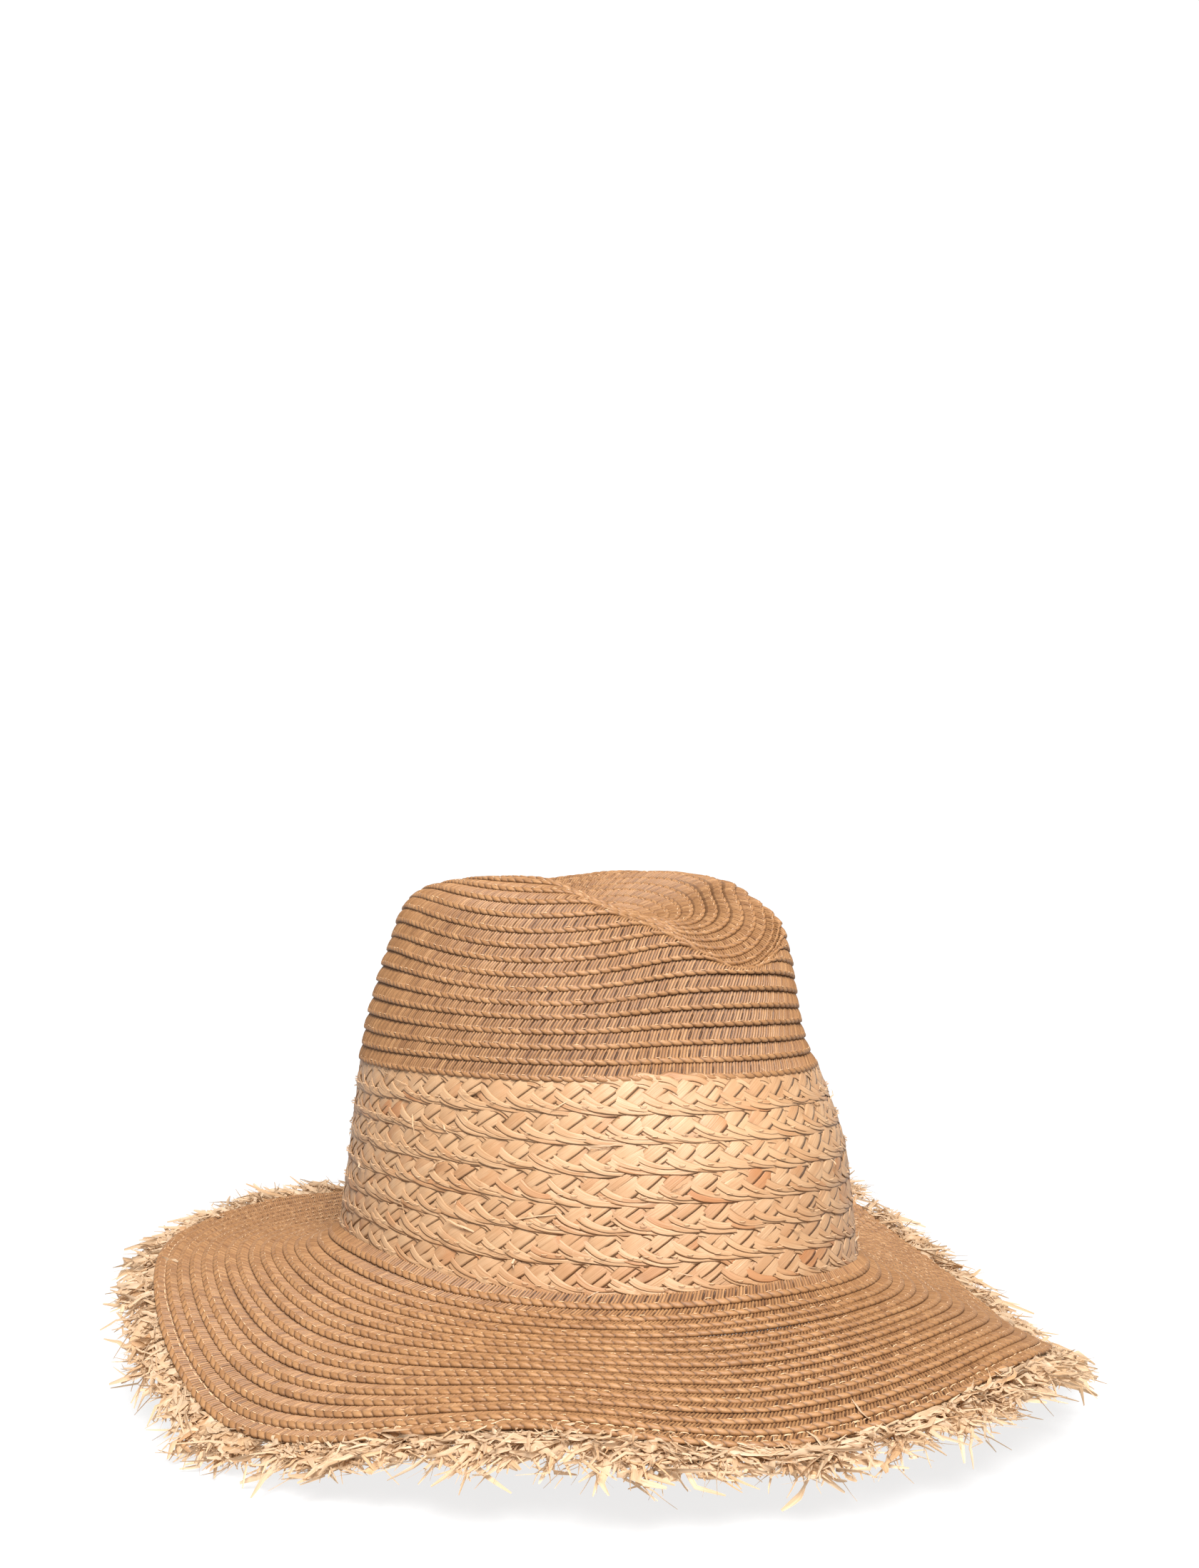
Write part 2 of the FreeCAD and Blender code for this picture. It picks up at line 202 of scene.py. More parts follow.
def front_tuck(height, angle):
    """How far the front is pushed in, at a height over the top of the band."""
    across = np.exp(-(signed(angle) / math.radians(FRONT_TUCK_WIDTH)) ** 4)
    rise = FRONT_TUCK * ease((height + 32.0) / 44.0)
    settle = (FRONT_TUCK_TOP - FRONT_TUCK) * ease((height - 12.0) / 40.0)
    return (rise + settle) * across


def dome_meridian():
    """Radius and height along the undented crown, as a list every quarter millimetre."""
    step = 0.25
    radius, height, along = BAND_TOP_HALF_WIDTH, 0.0, 0.0
    line = [(radius, height)]
    while radius > 0.0:
        slope = WALL_SLOPE_LOW + (WALL_SLOPE_HIGH - WALL_SLOPE_LOW) * ease(along / WALL_LENGTH)
        shoulder = (along - SHOULDER_START) / (SHOULDER_END - SHOULDER_START)
        slope += (TIP_SLOPE - WALL_SLOPE_HIGH) * ease(shoulder)
        slope += (90.0 - slope) * ease(1.0 - radius / TIP_FLAT_RADIUS)
        radius -= math.sin(math.radians(slope)) * step
        height += math.cos(math.radians(slope)) * step
        along += step
        line.append((radius, height))
    return np.array(line), step


MERIDIAN, MERIDIAN_STEP = dome_meridian()
CROWN_LENGTH = (len(MERIDIAN) - 1) * MERIDIAN_STEP


def meridian_at(along):
    """Radius and height at distances along the undented crown."""
    place = along / MERIDIAN_STEP
    low = np.clip(place.astype(int), 0, len(MERIDIAN) - 2)
    share = (place - low)[..., None]
    found = MERIDIAN[low] * (1.0 - share) + MERIDIAN[low + 1] * share
    return np.maximum(found[..., 0], 0.0), found[..., 1]


def crown_row(row, angle):
    """Distance up the crown of a row of the plait, which wanders as it goes round."""
    wander = -ROW_WANDER * np.cos(3.0 * (angle + math.radians(75.0)))
    fade = ease(row / 9.0) * (1.0 - ease((row - 13.0) / 8.0))
    return row * CROWN_ROW_PITCH + wander * fade


def crown_point(along, angle):
    """Crown above the band: an oval dome, tucked and pinched in front, and dented."""
    radius, height = meridian_at(np.minimum(along, CROWN_LENGTH - 0.1))
    spine = BAND_TOP_HALF_LENGTH - BAND_TOP_HALF_WIDTH
    x = radius * np.sin(angle)
    y = -(spine + radius) * np.cos(angle)

    pinch = 0.0
    for side, depth in PINCH_DEPTHS:
        away = signed(angle) - side * math.radians(PINCH_ANGLE)
        pinch = pinch + depth * np.exp(-(away / math.radians(PINCH_WIDTH)) ** 2)
    pinch = pinch * ease((height + 6.0) / 24.0) * ease((radius - 25.0) / 30.0)
    x = x - pinch * np.sin(angle)
    y = y + pinch * np.cos(angle) + front_tuck(height, angle) * ease(radius / 60.0)

    front_fall = CREASE_FRONT_FALL - CREASE_FALL_SPLIT * np.tanh(x / 40.0)
    rim = CREASE_HEIGHT + CREASE_SIDE_TILT * x
    rim = rim - front_fall * np.maximum(0.0, -y) ** 2
    rim = rim - CREASE_BACK_FALL * np.maximum(0.0, y - CREASE_BACK_START) ** 2
    depth = DENT_DEPTH_MIDDLE + (DENT_DEPTH_FRONT - DENT_DEPTH_MIDDLE) * ease((-y - 5.0) / 75.0)
    over = height - rim
    folded = (over * (1.0 - depth) - (1.0 + depth) * np.hypot(over, CREASE_RADIUS)) / 2.0
    return np.stack([x, y, STAND_HEIGHT + BAND_HEIGHT + rim + folded], axis=-1)


def band_point(up, angle):
    """Wall of the band, this far up from its foot."""
    share = up / BAND_HEIGHT
    half_length = OPENING_HALF_LENGTH + (BAND_TOP_HALF_LENGTH - OPENING_HALF_LENGTH) * share
    half_width = OPENING_HALF_WIDTH + (BAND_TOP_HALF_WIDTH - OPENING_HALF_WIDTH) * share
    foot = foot_height(angle) * np.maximum(1.0 - share, 0.0) ** 1.5
    return np.stack([
        half_width * np.sin(angle),
        -half_length * np.cos(angle) + front_tuck(up - BAND_HEIGHT, angle),
        STAND_HEIGHT + up + foot], axis=-1)


def outward(angle):
    """Level direction square to the oval of the band's foot."""
    flat = np.stack([np.sin(angle) / OPENING_HALF_WIDTH, -np.cos(angle) / OPENING_HALF_LENGTH,
                     np.zeros_like(angle)], axis=-1)
    return unit(flat)


def brim_point(inward, angle):
    """Brim, this far in from its edge."""
    out = 1.0 - inward / BRIM_WIDTH
    away = signed(angle - math.radians(40.0)) / math.radians(25.0)
    reach = (BRIM_WIDTH - BRIM_NARROWING * np.exp(-away ** 2)) * out
    edge_fall = wave_at(BRIM_WAVE, angle) - BRIM_COLLAR_DROP
    fall = BRIM_COLLAR_DROP * (1.0 - np.exp(-out / BRIM_COLLAR_WIDTH))
    fall = fall + edge_fall * np.maximum(out, 0.0) ** 1.6
    foot = np.stack([
        OPENING_HALF_WIDTH * np.sin(angle), -OPENING_HALF_LENGTH * np.cos(angle),
        STAND_HEIGHT + foot_height(angle) - fall], axis=-1)
    return foot + outward(angle) * reach[..., None]


def fringe_point(out, angle):
    """Middle of the fringe, from the header (0) to the common length (1) and past it."""
    root = brim_point(np.full_like(angle, HEADER_WIDTH), angle)
    edge = brim_point(np.zeros_like(angle), angle)
    reach = (HEADER_WIDTH + FRINGE_REACH) * out
    slope = (root[..., 2] - edge[..., 2]) / HEADER_WIDTH
    extra = FRINGE_DROP - slope * FRINGE_REACH
    point = root + outward(angle) * reach[..., None]
    point[..., 2] -= slope * reach + extra * np.maximum(out, 0.0) ** 1.5
    return point


def lifted(surface, place, angle, height):
    """Points at a height above a surface, and the surface's outward normals there."""
    du = surface(place, angle + 0.004) - surface(place, angle - 0.004)
    dv = surface(place + 0.2, angle) - surface(place - 0.2, angle)
    normal = unit(np.cross(du, dv))
    return surface(place, angle) + normal * np.asarray(height)[..., None], normal


# ---- spirals ---------------------------------------------------------------------------
class Spiral:
    """A plait's way round the hat: turns at one level, each stepping up a row at the back.

    Turns after the row `free` climb evenly all the way round instead.
    """

    def __init__(self, surface, row_place, turns, reading, free=1000):
        self.surface, self.row_place, self.free = surface, row_place, free
        fine = np.linspace(-JOG, turns, int(900 * (turns + JOG)))
        line = surface(self.place(fine, reading), self.angle(fine))
        steps = np.linalg.norm(np.diff(line, axis=0), axis=1)
        self.turn_values = fine
        self.lengths = np.concatenate([[0.0], np.cumsum(steps)])
        self.length = self.lengths[-1]

    def angle(self, turn):
        return math.pi + 2.0 * math.pi * turn

    def row(self, turn):
        whole = np.floor(turn)
        part = turn - whole
        stepped = ease((part - 1.0 + JOG) / JOG)
        even = ease((whole - self.free) / 5.0)
        return np.maximum(whole + stepped * (1.0 - even) + part * even, 0.0)

    def place(self, turn, across):
        return self.row_place(self.row(turn), self.angle(turn)) + across

    def turn_at(self, length):
        return np.interp(length, self.lengths, self.turn_values)

    def points(self, along, across, height):
        """Points at (along, across) places of the plait, at a height over its surface."""
        turn = self.turn_at(along)
        tucked = 1.4 * (1.0 - ease((turn + JOG) / JOG))
        return lifted(self.surface, self.place(turn, across), self.angle(turn),
                      height - tucked)


# ---- meshes ----------------------------------------------------------------------------
def grid_faces(strands, rings, around):
    """Quads of closed tubes: this many strands of this many rings."""
    ring = np.arange(rings - 1)[:, None] * around
    point = np.arange(around)[None, :]
    following = (point + 1) % around
    one = np.stack([ring + point, ring + around + point, ring + around + following,
                    ring + following], axis=-1).reshape(-1, 4)
    starts = np.arange(strands) * rings * around
    return (one[None] + starts[:, None, None]).reshape(-1, 4)


def sheet_faces(strands, rings, across):
    """Quads of open ribbons."""
    ring = np.arange(rings - 1)[:, None] * across
    point = np.arange(across - 1)[None, :]
    one = np.stack([ring + point, ring + across + point, ring + across + point + 1,
                    ring + point + 1], axis=-1).reshape(-1, 4)
    starts = np.arange(strands) * rings * across
    return (one[None] + starts[:, None, None]).reshape(-1, 4)


def tube_ends(rings, around):
    """The two flat ends of one closed tube."""
    first = np.arange(around)
    return first, first[::-1] + (rings - 1) * around


def build(name, points, quads, material, slot, nodes, ends=(), **values):
    """Makes one piece of the hat from points in millimetres, with its attributes."""
    points = points.reshape(-1, 3) * MM
    mesh = bpy.data.meshes.new(name)
    corners = quads.ravel()
    starts = np.arange(len(quads)) * 4
    for end in ends:
        starts = np.append(starts, len(corners))
        corners = np.append(corners, end)
    mesh.vertices.add(len(points))
    mesh.vertices.foreach_set("co", points.astype(np.float32).ravel())
    mesh.loops.add(len(corners))
    mesh.loops.foreach_set("vertex_index", corners.astype(np.int32))
    mesh.polygons.add(len(starts))
    mesh.polygons.foreach_set("loop_start", starts.astype(np.int32))
    mesh.polygons.foreach_set("use_smooth", np.ones(len(starts), dtype=bool))
    mesh.update(calc_edges=True)
    for key, value in values.items():
        kind = "FLOAT_VECTOR" if value.shape[-1] == 3 and value.ndim > 1 else "FLOAT"
        layer = mesh.attributes.new(key, kind, "POINT")
        field = "vector" if kind == "FLOAT_VECTOR" else "value"
        layer.data.foreach_set(field, value.astype(np.float32).ravel())
    mesh.materials.append(material)
    piece = bpy.data.objects.new(name, mesh)
    bpy.context.scene.collection.objects.link(piece)
    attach(piece, "root")
    for node in nodes:
        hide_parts(node)
    return piece


# ---- materials -------------------------------------------------------------------------
class Nodes:
    """A material under construction."""

    def __init__(self, name):
        self.material = bpy.data.materials.new(name)
        self.material.use_nodes = True
        self.tree = self.material.node_tree
        self.shader = self.tree.nodes["Principled BSDF"]

    def new(self, kind, **settings):
        node = self.tree.nodes.new(kind)
        for key, value in settings.items():
            if hasattr(node, key):
                setattr(node, key, value)
            else:
                node.inputs[key].default_value = value
        return node

    def link(self, source, target):
        self.tree.links.new(source, target)

    def value(self, name):
        return self.new("ShaderNodeAttribute", attribute_name=name).outputs["Fac"]

    def vector(self, name):
        return self.new("ShaderNodeAttribute", attribute_name=name).outputs["Vector"]

    def scaled(self, vector, scale):
        node = self.new("ShaderNodeMapping", Scale=scale)
        self.link(vector, node.inputs["Vector"])
        return node.outputs["Vector"]

    def noise(self, vector, scale, detail=2.0, rough=0.5):
        node = self.new("ShaderNodeTexNoise", Scale=scale, Detail=detail, Roughness=rough)
        self.link(vector, node.inputs["Vector"])
        return node.outputs["Fac"]

    def ramp(self, value, *stops):
        node = self.new("ShaderNodeValToRGB")
        points = node.color_ramp.elements
        while len(points) < len(stops):
            points.new(0.5)
        for point, (place, colour) in zip(points, stops):
            point.position = place
            point.color = (*colour, 1.0)
        self.link(value, node.inputs["Fac"])
        return node.outputs["Color"]

    def multiply(self, colour, other):
        node = self.new("ShaderNodeMix", data_type="RGBA", blend_type="MULTIPLY")
        node.inputs["Factor"].default_value = 1.0
        self.link(colour, node.inputs[6])
        self.link(other, node.inputs[7])
        return node.outputs[2]

    def see_through(self, colour, share):
        """Lets this share of the light through a thin leaf."""
        behind = self.new("ShaderNodeBsdfTranslucent")
        self.link(colour, behind.inputs["Color"])
        mix = self.new("ShaderNodeMixShader", Fac=share)
        self.link(self.shader.outputs[0], mix.inputs[1])
        self.link(behind.outputs[0], mix.inputs[2])
        self.link(mix.outputs[0], self.tree.nodes["Material Output"].inputs["Surface"])

    def finish(self, colour, height=None, strength=0.4, distance=0.0002, **shader):
        self.link(colour, self.shader.inputs["Base Color"])
        for key, value in shader.items():
            self.shader.inputs[key.replace("_", " ")].default_value = value
        if height is not None:
            bump = self.new("ShaderNodeBump", Strength=strength, Distance=distance)
            self.link(height, bump.inputs["Height"])
            self.link(bump.outputs["Normal"], self.shader.inputs["Normal"])
        return self.material


def grey(value):
    return (value, value, value)


def paper_material():
    """Twisted paper yarn, each rib a little lighter or darker, with painted shade in the holes,
    in the grooves, under the row above and on the underside.
    """
    nodes = Nodes("paper_plait")
    place = nodes.new("ShaderNodeTexCoord").outputs["Object"]
    colour = nodes.ramp(nodes.value("tint"), (0.0, (0.20, 0.089, 0.031)),
                        (0.5, (0.27, 0.129, 0.047)), (1.0, (0.35, 0.184, 0.076)))
    patches = nodes.noise(place, 60.0, 3.0)
    colour = nodes.multiply(colour, nodes.ramp(patches, (0.3, (0.90, 0.88, 0.86)),
                                               (0.7, (1.0, 1.0, 1.0))))
    yarn = nodes.noise(place, 1500.0, 3.0)
    colour = nodes.multiply(colour, nodes.ramp(yarn, (0.3, grey(0.82)), (0.65, grey(1.0))))
    # Painted shade: the 'shade' attribute darkens the holes, the grooves, the underside and the
    # part under the row above.
    shade = nodes.ramp(nodes.value("shade"), (0.0, (0.10, 0.05, 0.02)), (1.0, grey(1.0)))
    colour = nodes.multiply(colour, shade)
    return nodes.finish(colour, yarn, 0.35, 0.0002, Roughness=0.62)


def raffia_material(name, pale, middle, warm, through=0.0):
    """Flat dried leaf, with fine lengthwise fibres in a strand's own coordinates."""
    nodes = Nodes(name)
    strand = nodes.vector("strand")
    colour = nodes.ramp(nodes.value("tint"), (0.0, warm), (0.28, middle), (0.75, pale))
    fibres = nodes.noise(nodes.scaled(strand, (0.035, 2.6, 7.0)), 1.0, 3.0, 0.6)
    colour = nodes.multiply(colour, nodes.ramp(fibres, (0.3, (0.84, 0.79, 0.72)),
                                               (0.6, grey(1.0))))
    blotches = nodes.noise(nodes.scaled(strand, (0.12, 0.3, 3.0)), 1.0, 2.0)
    colour = nodes.multiply(colour, nodes.ramp(blotches, (0.35, (0.93, 0.87, 0.80)),
                                               (0.6, grey(1.0))))
    # Painted shade: the 'shade' attribute darkens leaf edges, strands that pass under others,
    # the under-leaf and the fringe roots.
    shade = nodes.ramp(nodes.value("shade"), (0.0, (0.35, 0.22, 0.13)), (1.0, grey(1.0)))
    colour = nodes.multiply(colour, shade)
    if through:
        nodes.see_through(colour, through)
    return nodes.finish(colour, fibres, 0.4, 0.0004, Roughness=0.55)


def cloth_material(name, light, dark, scale):
    """Fine woven cloth or thread."""
    nodes = Nodes(name)
    place = nodes.new("ShaderNodeTexCoord").outputs["Object"]
    weave = nodes.noise(place, scale, 2.0)
    colour = nodes.ramp(weave, (0.3, dark), (0.7, light))
    return nodes.finish(colour, weave, 0.3, 0.0001, Roughness=0.75)


PAPER = paper_material()
RAFFIA = raffia_material("raffia_plait", (0.40, 0.247, 0.135), (0.355, 0.20, 0.10),
                         (0.335, 0.155, 0.064))
FRINGE = raffia_material("raffia_strand", (0.66, 0.50, 0.345), (0.635, 0.445, 0.275),
                         (0.61, 0.38, 0.205), through=0.42)
THREAD = cloth_material("sewing_thread", (0.52, 0.34, 0.20), (0.43, 0.27, 0.15), 900.0)
TAPE = cloth_material("header_tape", (0.78, 0.62, 0.42), (0.66, 0.50, 0.32), 1200.0)
RIBBON = cloth_material("ribbon", (0.62, 0.44, 0.28), (0.50, 0.34, 0.21), 900.0)
LABEL = cloth_material("label_cloth", (0.86, 0.83, 0.76), (0.78, 0.74, 0.66), 2500.0)


# ---- paper plait -----------------------------------------------------------------------
def plait_profile(pitch, lap):
    """Across places of one ring of the plait: its top from edge to edge, then its underside."""
    lobe = LOBE_WIDTH * np.array([0.0, 0.16, 0.40, 0.66, 0.88])
    rib = LOBE_WIDTH + (pitch - LOBE_WIDTH) * np.array([0.0, 0.14, 0.30, 0.46, 0.62, 0.80, 1.0])
    top = np.concatenate([lobe, rib, [pitch + lap]])
    below = np.array([pitch + lap, pitch * 0.6, LOBE_WIDTH * 0.5, 0.1])
    return top, below


def plait_relief(pitch, lift, top, column):
    """Height and painted shade of the top of the plait over its own columns."""
    phase = (column % COLUMNS) / COLUMNS
    across = top[None, :]
    in_lobe = np.clip(across / LOBE_WIDTH, 0.0, 1.0)
    in_rib = np.clip((across - LOBE_WIDTH) / (pitch - LOBE_WIDTH), 0.0, 1.0)
    is_lobe = across < LOBE_WIDTH * 0.95

    # The row's own form: sunk under the row above, arched, and full along the lobes.
    base = lift * (1.0 - across / pitch) + ROW_ARCH * np.sin(math.pi * across / pitch)
    base = base + LOBE_BULGE * np.sqrt(1.0 - (2.0 * in_lobe - 1.0) ** 2)
    base = base - LOWER_EDGE_TUCK * (in_lobe <= 0.0)

    # Lobes and ribs, each rounded and about its own middle height.
    lobe = 1.0 - np.abs(2.0 * phase - 1.0) ** 3
    lobes = LOBE_RELIEF * (lobe - 0.75)[:, None]
    rib_phase = (phase * RIBS) % 1.0
    rib = 1.0 - np.abs(2.0 * rib_phase - 1.0) ** 2
    ribs = RIB_RELIEF * (rib - 0.6)[:, None]

    # A hole between two stitches, more open at some of them than at others.
    near_hole = np.abs(signed(2.0 * math.pi * phase)) * COLUMNS / (2.0 * math.pi)
    hole = np.clip(1.6 - near_hole / 1.3, 0.0, 1.0)[:, None]
    hole = hole * ease(in_rib / 0.2) * (1.0 - ease((in_rib - 0.62) / 0.2))
    stitch = column // COLUMNS
    openness = np.random.default_rng(7).uniform(0.3, 1.0, stitch.max() + 1)
    hole = hole * openness[stitch][:, None]

    height = base + np.where(is_lobe, lobes, ribs * (1.0 - 0.4 * in_rib)) - HOLE_DEPTH * hole
    # Painted shade: darker in the grooves between lobes and ribs and in the holes, and a painted
    # shadow where the next row up overhangs.
    groove = np.where(is_lobe, 0.7 * (1.0 - lobe)[:, None] ** 2, 0.9 * (1.0 - rib)[:, None] ** 2)
    shade = (1.0 - groove - hole) * (1.0 - UPPER_EDGE_SHADE * ease((in_rib - 0.8) / 0.2))
    return height, np.clip(shade, 0.0, 1.0), is_lobe


def tint_each(numbers, seed, middle, spread):
    """A random tint for each number in a rising list, the same one for equal numbers."""
    tints = np.random.default_rng(seed).normal(middle, spread, numbers[-1] - numbers[0] + 1)
    return tints[numbers - numbers[0]]


def paper_plait(name, spiral, pitch, lap, lift, rib_lean, nodes, turns_to_piece):
    """One long plait, as several pieces of a few turns each, lapped under the row above."""
    top, below = plait_profile(pitch, lap)
    across = np.concatenate([top, below])
    lean = np.where(across < LOBE_WIDTH, (LOBE_WIDTH - across) * LOBE_LEAN,
                    (across - LOBE_WIDTH) * rib_lean)
    step = PERIOD / COLUMNS
    count = int(spiral.length / step)
    waver = drift(np.arange(count) * step, 45.0, 0.16)
    swell = 1.0 + drift(np.arange(count) * step, 7.0, 0.12)

    ends = np.searchsorted(spiral.turn_at(np.arange(count) * step),
                           np.arange(turns_to_piece, 100, turns_to_piece))
    cuts = sorted({0, count - 1, *(int(end) for end in ends if end < count)})
    for part, (first, last) in enumerate(zip(cuts[:-1], cuts[1:])):
        column = np.arange(first, last + 1)
        height, shade, is_lobe = plait_relief(pitch, lift, top, column)
        rib_tint = tint_each(column * RIBS // COLUMNS, part + 1, *RIB_TINT)
        lobe_tint = tint_each(column // COLUMNS, part + 50, *LOBE_TINT)
        tint = np.where(is_lobe, lobe_tint[:, None], rib_tint[:, None])
        height = height * swell[column][:, None]

        # The underside, at the places that plait_profile gives for it.
        to_groove = np.abs(2.0 * (column % COLUMNS) / COLUMNS - 1.0)
        under = np.array([-0.95, -0.5, lift - 1.25, lift - 0.8]) * np.ones((len(column), 1))
        under[:, 1:3] += 0.12 * (1.0 - to_groove)[:, None]
        height = np.concatenate([height, under], axis=1)
        # The underside is painted darker (shade 0.8), as painted shade.
        shade = np.concatenate([shade, 0.8 * np.ones_like(under)], axis=1)
        tint = np.concatenate([tint, 0.45 * np.ones_like(under)], axis=1)

        scallop = -SIDE_SCALLOP * (1.0 - to_groove ** 2)
        places = across[None, :] + waver[column][:, None]
        places = places + scallop[:, None] * (across[None, :] < LOBE_WIDTH * 0.3)
        along = column[:, None] * step + lean[None, :]
        points, _ = spiral.points(along, places, height)
        rings, around = places.shape
        build("%s_%02d" % (name, part + 1), points, grid_faces(1, rings, around), PAPER,
              "paper_braid", nodes, ends=tube_ends(rings, around),
              tint=tint.ravel(), shade=shade.ravel())


# ---- stitches --------------------------------------------------------------------------
STITCH_DIP = 0.75               # how far the ends of a stitch go down into the plait
THREAD_SIDES = 5


def stitches(name, spiral, across, pitch, length, height, slot, nodes, share=1.0, radius=0.17):
    """Short lengths of thread that come up out of the plait and go down again."""
    starts = np.arange(2.0, spiral.length - 6.0, pitch)
    starts = starts[rng.random(len(starts)) < share]
    starts = starts + rng.normal(0.0, 0.25, len(starts))
    span = np.linspace(0.0, 1.0, 7)
    along = starts[:, None] + length * span[None, :]
    arch = height - STITCH_DIP * np.abs(2.0 * span - 1.0) ** 4
    lift = arch[None, :] + rng.normal(0.0, 0.06, (len(starts), 1))
    place = across + rng.normal(0.0, 0.12, (len(starts), 1)) * np.ones_like(along)
    centre, normal = spiral.points(along, place, lift)
    direction = unit(np.gradient(centre, axis=1))
    side = unit(np.cross(direction, normal))
    turn = np.arange(THREAD_SIDES) * 2.0 * math.pi / THREAD_SIDES
    ring = (side[:, :, None] * np.cos(turn)[None, None, :, None]
            + normal[:, :, None] * np.sin(turn)[None, None, :, None])
    points = centre[:, :, None] + radius * ring
    build(name, points, grid_faces(len(starts), len(span), len(turn)), THREAD, slot, nodes)


# ---- raffia plait ----------------------------------------------------------------------
# A strand swings from the plait's upper edge to its lower one and back, through ten equal
# steps of 36 degrees.  At each step but the turns it crosses another strand.  Rows give the
# step, the place across the plait, the height over (1) or under (-1), and the width.
STRAND_PATH = np.array([
    (0.0, 9.6, 0.0, 3.4), (36.0, 8.9, 1.0, 3.2), (72.0, 5.9, -1.0, 4.0),
    (108.0, 2.6, 1.0, 3.9), (144.0, 1.0, 1.0, 3.0), (180.0, 0.5, 0.1, 2.6),
    (216.0, 1.0, -1.0, 4.2), (252.0, 2.9, -1.0, 6.6), (288.0, 6.0, 1.0, 7.7),
    (324.0, 8.9, -1.0, 6.8)])


def raffia_plait(spiral):
    """Seven turns of a plait of five strands, each of two flat leaves side by side."""
    wave = STRANDS * STRAND_SPACING
    along = np.arange(0.0, spiral.length, STRAND_STEP)
    share = np.concatenate([np.linspace(-1.0, 1.0, LEAF_TOP), [0.62, -0.62]])
    is_top = np.arange(len(share)) < LEAF_TOP
    for strand in range(STRANDS):
        phase = 2.0 * math.pi * (along / wave - strand / STRANDS) + drift(along, 26.0, 0.14)
        across, cross, width = (wave_at(STRAND_PATH[:, [0, column]], phase)
                                for column in (1, 2, 3))
        across = across + drift(along, 16.0, 0.30)
        slope = np.gradient(across, along)
        width = width * (1.02 + drift(along, 18.0, 0.13))
        length = np.hypot(1.0, slope)
        for leaf in LEAVES:
            number = 2 * strand + (leaf + 1) // 2
            half = width * (0.31 + drift(along, 25.0, 0.03))
            middle_offset = leaf * (width / 2.0 - half) + drift(along, 14.0, 0.25)
            offset = middle_offset[:, None] + share[None, :] * half[:, None]
            pleats = 0.06 * np.sin((5.0 + leaf) * share[None, :]
                                   + drift(along, 9.0, 1.6)[:, None])
            crown = 0.10 * (1.0 - share[None, :] ** 2)
            thickness = np.where(is_top, pleats, -LEAF_THICKNESS)
            place = across[:, None] + offset / length[:, None]
            lean = BAND_LEAN * (1.0 - place / BAND_PITCH)
            above = (0.06 * leaf + drift(along, 11.0, 0.07))[:, None]
            height = lean + STRAND_LIFT * cross[:, None] + crown + thickness + above
            points, _ = spiral.points(along[:, None] - offset * (slope / length)[:, None],
                                      place, height)

            piece = np.floor(along / LEAF_LENGTH + number * 0.37).astype(int)
            tints = np.clip(rng.normal(*LEAF_TINT, piece.max() + 2), 0.0, 1.0)
            tint = (tints[piece] + 0.12 * drift(along, 8.0))[:, None] * np.ones_like(share)
            # Painted shade: darker at a leaf's edges, and where a strand passes under another.
            edge = np.abs(share[None, :]) ** 5
            shade = 1.0 - 0.32 * edge * (0.65 - 0.35 * cross[:, None])
            shade = shade - 0.2 * np.clip(-cross, 0.0, 1.0)[:, None]
            coordinates = np.stack(np.broadcast_arrays(
                along[:, None] + 500.0 * number, offset, piece[:, None] + 9.0 * number),
                axis=-1)
            rings, around = points.shape[:2]
            build("raffia_leaf_%02d" % (number + 1), points, grid_faces(1, rings, around),
                  RAFFIA, "raffia_plait", ["raffia_band"], ends=tube_ends(rings, around),
                  tint=tint.ravel(), shade=shade.ravel(), strand=coordinates)


def under_leaf(spiral):
    """Broad flat leaf that runs along under the strands of the raffia plait."""
    along = np.arange(0.0, spiral.length, 3.0)
    across = np.linspace(-0.2, BAND_PITCH + 0.8, 7)
    along_grid, place = np.meshgrid(along, np.concatenate([across, across[::-1]]),
                                    indexing="ij")
    depth = np.concatenate([np.full(7, UNDER_LEAF_TOP), np.full(7, UNDER_LEAF_TOP - 0.25)])
    height = depth[None, :] + 0.06 * drift(along, 12.0)[:, None]
    points, _ = spiral.points(along_grid, place, height)
    rings, around = place.shape
    tint = np.clip(0.5 + 0.2 * drift(along, 20.0), 0.0, 1.0)[:, None] * np.ones_like(place)
    coordinates = np.stack([along_grid, place, 0.3 * place], axis=-1)
    # The leaf is painted a little darker (shade 0.85), as painted shade under the strands.
    build("raffia_under_leaf", points, grid_faces(1, rings, around), RAFFIA, "raffia_plait",
          ["raffia_band"], ends=tube_ends(rings, around),
          tint=tint.ravel(), shade=np.full(tint.size, 0.85), strand=coordinates)


# ---- fringe ----------------------------------------------------------------------------
FRINGE_STRANDS = 4800
FRINGE_RINGS = 16
ALONG_STRAND = np.linspace(0.0, 1.0, FRINGE_RINGS)[None, :, None]
FRINGE_TUFTS = 150
FRINGE_LENGTH = (0.77, 0.17)    # shares of its common length: middle and spread
FRINGE_CRINKLE = 1.5            # sideways bends of a strand
FRINGE_WIDTH = (0.2, 0.6)       # natural logarithm of a strand's width: middle and spread
FRINGE_TINT = (0.62, 0.24)      # middle and spread
ROOT_SPREAD = 0.6               # of strands in a tuft, in spacings from tuft to tuft
TIP_SPREAD = 1.2
TUFT_AIM = 0.9                  # how far tufts point to one side, in the same spacings
SCATTER = np.array([1.0, 1.0, 0.5])     # of loose strands: less up and down than sideways
FRINGE_LIES = -54.0             # where round the hat the fringe lies flattest
FRINGE_LIFT = 12.0              # of its tips, on the far side from there
FRINGE_GROWTH = 0.12            # share by which the strands there are longer
